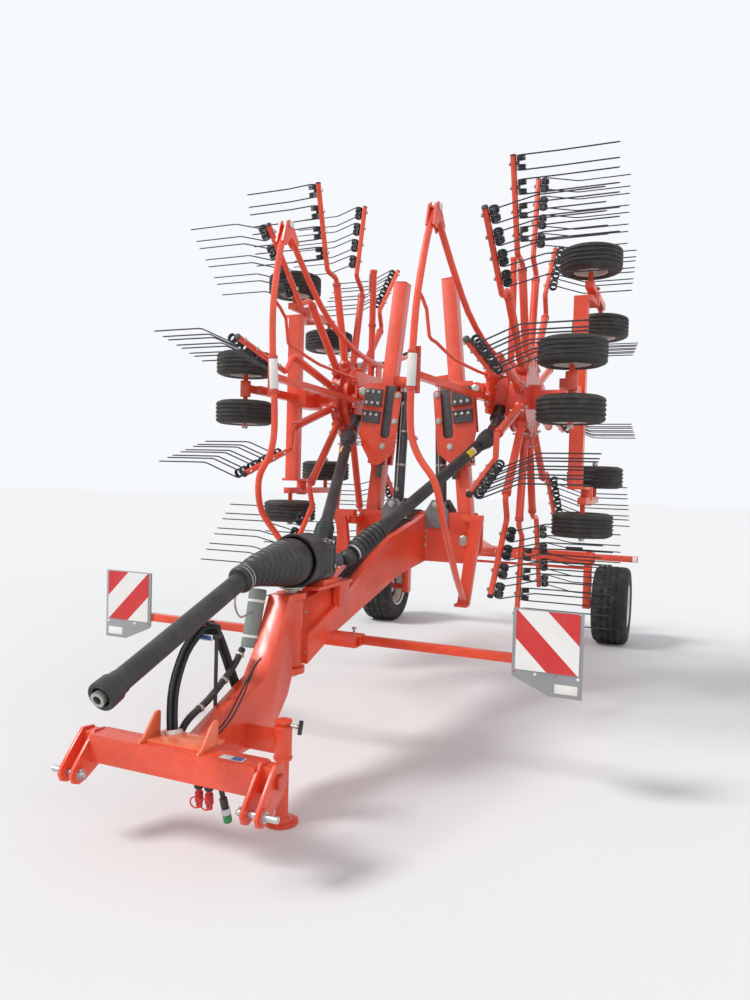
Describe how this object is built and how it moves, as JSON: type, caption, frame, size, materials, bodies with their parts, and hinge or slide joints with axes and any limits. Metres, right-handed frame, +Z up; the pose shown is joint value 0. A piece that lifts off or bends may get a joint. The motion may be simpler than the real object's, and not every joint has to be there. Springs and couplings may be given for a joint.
{
  "type": "rotary hay rake",
  "caption": "Trailed rotary hay rake folded for the road: rotors with tines raised on folding arms over a wheeled frame, headstock and drive shafts.",
  "frame": {"origin": "on the ground, at the middle of the folded machine's length and width", "axes": "+X to the machine's left, +Y to the rear along the machine, +Z up"},
  "size_m": [2.991, 6.3003, 3.972],
  "materials": {
    "orange_paint": "gloss",
    "black_plastic": "matte",
    "steel": "satin",
    "grey_paint": "satin",
    "tine_steel": "satin",
    "rubber": "matte",
    "tyre": "matte",
    "rim_paint": "satin",
    "board_face": "satin",
    "lamp": "gloss",
    "grey_plastic": "matte"
  },
  "bodies": {
    "frame": {"main_frame": "orange_paint", "guard_rests": "orange_paint", "cylinder_brackets": "grey_paint", "gearbox": "black_plastic", "gearbox_guards": "black_plastic", "rear_lights": "lamp", "pivot_pins": "steel"},
    "headstock": {"headstock": "orange_paint", "hitch_pins": "steel", "pto_guard": "black_plastic", "pto_yoke": "steel", "hose_rack": "black_plastic", "hoses": "rubber", "document_tube": "grey_plastic"},
    "parking_stand": {"parking_stand": "orange_paint"},
    "tie_rod": {"tie_rod": "orange_paint"},
    "knuckle_left": {"knuckle_left": "orange_paint"},
    "wheel_left": {"tyre_left": "tyre", "rim_left": "rim_paint"},
    "board_left": {"board_arm_left": "orange_paint", "board_left": "board_face"},
    "lift_arm_left": {"lift_arm_left": "orange_paint"},
    "carriage_left": {"carriage_left": "orange_paint"},
    "rotor_head_left": {"rotor_head_left": "orange_paint", "undercarriage_left": "orange_paint", "guard_left": "orange_paint"},
    "rotor_left": {"rotor_left": "orange_paint", "tines_left": "tine_steel"},
    "twin_wheels_left": {"twin_wheels_left": "tyre"},
    "outer_front_wheel_left": {"outer_front_wheel_left": "tyre"},
    "outer_rear_wheel_left": {"outer_rear_wheel_left": "tyre"},
    "inner_front_wheel_left": {"inner_front_wheel_left": "tyre"},
    "inner_rear_wheel_left": {"inner_rear_wheel_left": "tyre"},
    "lift_barrel_left": {"lift_barrel_left": "grey_paint"},
    "lift_rod_left": {"lift_rod_left": "steel"},
    "shaft_joint_left": {"shaft_joint_left": "black_plastic"},
    "shaft_outer_left": {"shaft_outer_left": "black_plastic"},
    "shaft_inner_left": {"shaft_inner_left": "black_plastic"},
    "knuckle_right": {"knuckle_right": "orange_paint"},
    "wheel_right": {"tyre_right": "tyre", "rim_right": "rim_paint"},
    "board_right": {"board_arm_right": "orange_paint", "board_right": "board_face"},
    "lift_arm_right": {"lift_arm_right": "orange_paint"},
    "carriage_right": {"carriage_right": "orange_paint"},
    "rotor_head_right": {"rotor_head_right": "orange_paint", "undercarriage_right": "orange_paint", "guard_right": "orange_paint"},
    "rotor_right": {"rotor_right": "orange_paint", "tines_right": "tine_steel"},
    "twin_wheels_right": {"twin_wheels_right": "tyre"},
    "outer_front_wheel_right": {"outer_front_wheel_right": "tyre"},
    "outer_rear_wheel_right": {"outer_rear_wheel_right": "tyre"},
    "inner_front_wheel_right": {"inner_front_wheel_right": "tyre"},
    "inner_rear_wheel_right": {"inner_rear_wheel_right": "tyre"},
    "lift_barrel_right": {"lift_barrel_right": "grey_paint"},
    "lift_rod_right": {"lift_rod_right": "steel"},
    "shaft_joint_right": {"shaft_joint_right": "black_plastic"},
    "shaft_outer_right": {"shaft_outer_right": "black_plastic"},
    "shaft_inner_right": {"shaft_inner_right": "black_plastic"}
  },
  "joints": [
    {"name": "steer", "type": "hinge", "parent": "frame", "child": "headstock", "pos_m": [0, -1.72, 0.77], "axis": [0, 0, 1], "range_deg": [-25, 25]},
    {"name": "stand_slide", "type": "slide", "parent": "headstock", "child": "parking_stand", "axis": [0, 0, 1], "range_m": [0, 0.25]},
    {"name": "tie_rod_slide", "type": "slide", "parent": "frame", "child": "tie_rod", "axis": [1, 0, 0], "range_m": [-0.037, 0.037]},
    {"name": "knuckle_steer_left", "type": "hinge", "parent": "frame", "child": "knuckle_left", "pos_m": [1, 2.7, 0.85], "axis": [0, 0, 1], "range_deg": [-15.5, 15.5]},
    {"name": "wheel_roll_left", "type": "hinge", "parent": "knuckle_left", "child": "wheel_left", "pos_m": [1.24, 2.7, 0.3875], "axis": [1, 0, 0], "continuous": true},
    {"name": "board_slide_left", "type": "slide", "parent": "frame", "child": "board_left", "axis": [-1, 0, 0], "range_m": [0, 0.5]},
    {"name": "lift_left", "type": "hinge", "parent": "frame", "child": "lift_arm_left", "pos_m": [0.4, 0.28, 1.16], "axis": [0, 1, 0], "range_deg": [0, 96]},
    {"name": "carriage_slide_left", "type": "slide", "parent": "lift_arm_left", "child": "carriage_left", "axis": [-0.1045, 0, 0.9945], "range_m": [0, 0.7005]},
    {"name": "head_tilt_left", "type": "hinge", "parent": "carriage_left", "child": "rotor_head_left", "pos_m": [0.45283, 0.28, 2.28368], "axis": [0, 1, 0], "range_deg": [-6.01, 0]},
    {"name": "rotor_spin_left", "type": "hinge", "parent": "rotor_head_left", "child": "rotor_left", "pos_m": [0.76, 0.55, 2.26], "axis": [1, 0, 0], "continuous": true},
    {"name": "twin_wheels_roll_left", "type": "hinge", "parent": "rotor_head_left", "child": "twin_wheels_left", "pos_m": [1.22, -0.33, 2.26], "axis": [0, 0, 1], "continuous": true},
    {"name": "outer_front_wheel_roll_left", "type": "hinge", "parent": "rotor_head_left", "child": "outer_front_wheel_left", "pos_m": [1.22, 0.4, 3.215], "axis": [0, 0, 1], "continuous": true},
    {"name": "outer_rear_wheel_roll_left", "type": "hinge", "parent": "rotor_head_left", "child": "outer_rear_wheel_left", "pos_m": [1.22, 1.06, 2.86], "axis": [0, 0, 1], "continuous": true},
    {"name": "inner_front_wheel_roll_left", "type": "hinge", "parent": "rotor_head_left", "child": "inner_front_wheel_left", "pos_m": [1.22, 0.4, 1.305], "axis": [0, 0, 1], "continuous": true},
    {"name": "inner_rear_wheel_roll_left", "type": "hinge", "parent": "rotor_head_left", "child": "inner_rear_wheel_left", "pos_m": [1.22, 1.06, 1.66], "axis": [0, 0, 1], "continuous": true},
    {"name": "barrel_swing_left", "type": "hinge", "parent": "frame", "child": "lift_barrel_left", "pos_m": [0.178, 0.28, 1.413], "axis": [0, 1, 0], "range_deg": [0, 97.03]},
    {"name": "rod_slide_left", "type": "slide", "parent": "lift_barrel_left", "child": "lift_rod_left", "axis": [-0.0367, 0, 0.9993], "range_m": [0, 0.5004]},
    {"name": "shaft_turn_left", "type": "hinge", "parent": "frame", "child": "shaft_joint_left", "pos_m": [0.1, -1.23, 1.135], "axis": [0, 1, 0], "range_deg": [0, 68.26]},
    {"name": "shaft_swing_left", "type": "hinge", "parent": "shaft_joint_left", "child": "shaft_outer_left", "pos_m": [0.1, -1.23, 1.135], "axis": [0.8617, 0, -0.5075], "range_deg": [0, 18.09]},
    {"name": "shaft_slide_left", "type": "slide", "parent": "shaft_outer_left", "child": "shaft_inner_left", "axis": [0.28, 0.8341, 0.4754], "range_m": [0, 0.5841]},
    {"name": "knuckle_steer_right", "type": "hinge", "parent": "frame", "child": "knuckle_right", "pos_m": [-1, 2.7, 0.85], "axis": [0, 0, 1], "range_deg": [-15.5, 15.5]},
    {"name": "wheel_roll_right", "type": "hinge", "parent": "knuckle_right", "child": "wheel_right", "pos_m": [-1.24, 2.7, 0.3875], "axis": [1, 0, 0], "continuous": true},
    {"name": "board_slide_right", "type": "slide", "parent": "frame", "child": "board_right", "axis": [1, 0, 0], "range_m": [0, 0.5]},
    {"name": "lift_right", "type": "hinge", "parent": "frame", "child": "lift_arm_right", "pos_m": [-0.4, 0.28, 1.16], "axis": [0, -1, 0], "range_deg": [0, 96]},
    {"name": "carriage_slide_right", "type": "slide", "parent": "lift_arm_right", "child": "carriage_right", "axis": [0.1045, 0, 0.9945], "range_m": [0, 0.7005]},
    {"name": "head_tilt_right", "type": "hinge", "parent": "carriage_right", "child": "rotor_head_right", "pos_m": [-0.45283, 0.28, 2.28368], "axis": [0, -1, 0], "range_deg": [-6.01, 0]},
    {"name": "rotor_spin_right", "type": "hinge", "parent": "rotor_head_right", "child": "rotor_right", "pos_m": [-0.76, 0.55, 2.26], "axis": [1, 0, 0], "continuous": true},
    {"name": "twin_wheels_roll_right", "type": "hinge", "parent": "rotor_head_right", "child": "twin_wheels_right", "pos_m": [-1.22, -0.33, 2.26], "axis": [0, 0, 1], "continuous": true},
    {"name": "outer_front_wheel_roll_right", "type": "hinge", "parent": "rotor_head_right", "child": "outer_front_wheel_right", "pos_m": [-1.22, 0.4, 3.215], "axis": [0, 0, 1], "continuous": true},
    {"name": "outer_rear_wheel_roll_right", "type": "hinge", "parent": "rotor_head_right", "child": "outer_rear_wheel_right", "pos_m": [-1.22, 1.06, 2.86], "axis": [0, 0, 1], "continuous": true},
    {"name": "inner_front_wheel_roll_right", "type": "hinge", "parent": "rotor_head_right", "child": "inner_front_wheel_right", "pos_m": [-1.22, 0.4, 1.305], "axis": [0, 0, 1], "continuous": true},
    {"name": "inner_rear_wheel_roll_right", "type": "hinge", "parent": "rotor_head_right", "child": "inner_rear_wheel_right", "pos_m": [-1.22, 1.06, 1.66], "axis": [0, 0, 1], "continuous": true},
    {"name": "barrel_swing_right", "type": "hinge", "parent": "frame", "child": "lift_barrel_right", "pos_m": [-0.178, 0.28, 1.413], "axis": [0, -1, 0], "range_deg": [0, 97.03]},
    {"name": "rod_slide_right", "type": "slide", "parent": "lift_barrel_right", "child": "lift_rod_right", "axis": [0.0367, 0, 0.9993], "range_m": [0, 0.5004]},
    {"name": "shaft_turn_right", "type": "hinge", "parent": "frame", "child": "shaft_joint_right", "pos_m": [-0.1, -1.23, 1.135], "axis": [0, -1, 0], "range_deg": [0, 68.26]},
    {"name": "shaft_swing_right", "type": "hinge", "parent": "shaft_joint_right", "child": "shaft_outer_right", "pos_m": [-0.1, -1.23, 1.135], "axis": [0.8617, 0, 0.5075], "range_deg": [0, 18.09]},
    {"name": "shaft_slide_right", "type": "slide", "parent": "shaft_outer_right", "child": "shaft_inner_right", "axis": [-0.28, 0.8341, 0.4754], "range_m": [0, 0.5841]}
  ],
  "couplings": [
    {"joint": "tie_rod_slide", "follows": "steer", "m_per_rad": 0.084},
    {"joint": "knuckle_steer_left", "follows": "steer", "ratio": -0.6},
    {"joint": "carriage_slide_left", "follows": "lift_left", "m_per_rad": 0.41778},
    {"joint": "head_tilt_left", "follows": "lift_left", "ratio": -0.0625},
    {"joint": "barrel_swing_left", "follows": "lift_left", "ratio": 1.0102},
    {"joint": "rod_slide_left", "follows": "lift_left", "m_per_rad": 0.29834},
    {"joint": "shaft_turn_left", "follows": "lift_left", "ratio": 0.71047},
    {"joint": "shaft_swing_left", "follows": "lift_left", "ratio": 0.18789},
    {"joint": "shaft_slide_left", "follows": "lift_left", "m_per_rad": 0.34833},
    {"joint": "knuckle_steer_right", "follows": "steer", "ratio": -0.6},
    {"joint": "carriage_slide_right", "follows": "lift_right", "m_per_rad": 0.41778},
    {"joint": "head_tilt_right", "follows": "lift_right", "ratio": -0.0625},
    {"joint": "barrel_swing_right", "follows": "lift_right", "ratio": 1.0102},
    {"joint": "rod_slide_right", "follows": "lift_right", "m_per_rad": 0.29834},
    {"joint": "shaft_turn_right", "follows": "lift_right", "ratio": 0.71047},
    {"joint": "shaft_swing_right", "follows": "lift_right", "ratio": 0.18789},
    {"joint": "shaft_slide_right", "follows": "lift_right", "m_per_rad": 0.34833}
  ]
}
